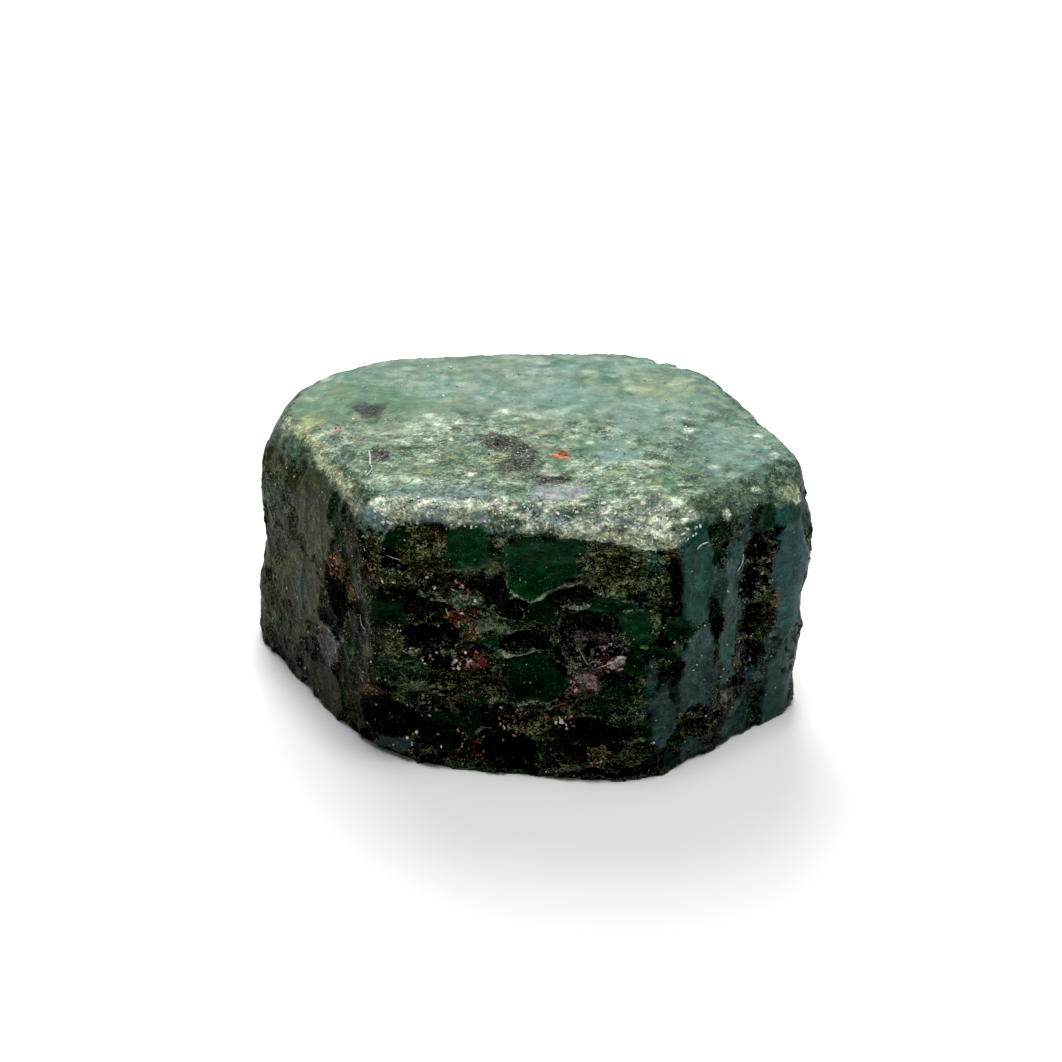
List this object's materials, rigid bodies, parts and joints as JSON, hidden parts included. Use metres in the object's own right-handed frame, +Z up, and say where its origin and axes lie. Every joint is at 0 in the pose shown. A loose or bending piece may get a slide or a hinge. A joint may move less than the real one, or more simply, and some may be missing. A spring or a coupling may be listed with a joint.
{
  "type": "rough emerald crystal",
  "caption": "Rough emerald: a short stout hexagonal beryl prism, dark green, with a worn pale top face, scarred sides and a flat broken base that it rests on.",
  "frame": {"origin": "middle of the flat base's plane, under the middle of the stone's box", "axes": "+X along the stone's longest extent, +Z up from the flat base, -Y towards the widest scarred prism face"},
  "size_m": [0.0404, 0.0292, 0.02],
  "materials": {
    "emerald": "dark green, nearly opaque rough beryl: dull glassy scars with olive stain and purple-black mica, and a paler ground top face with worn sparkling edges"
  },
  "bodies": {
    "root": {"emerald_crystal": "emerald"}
  },
  "joints": []
}
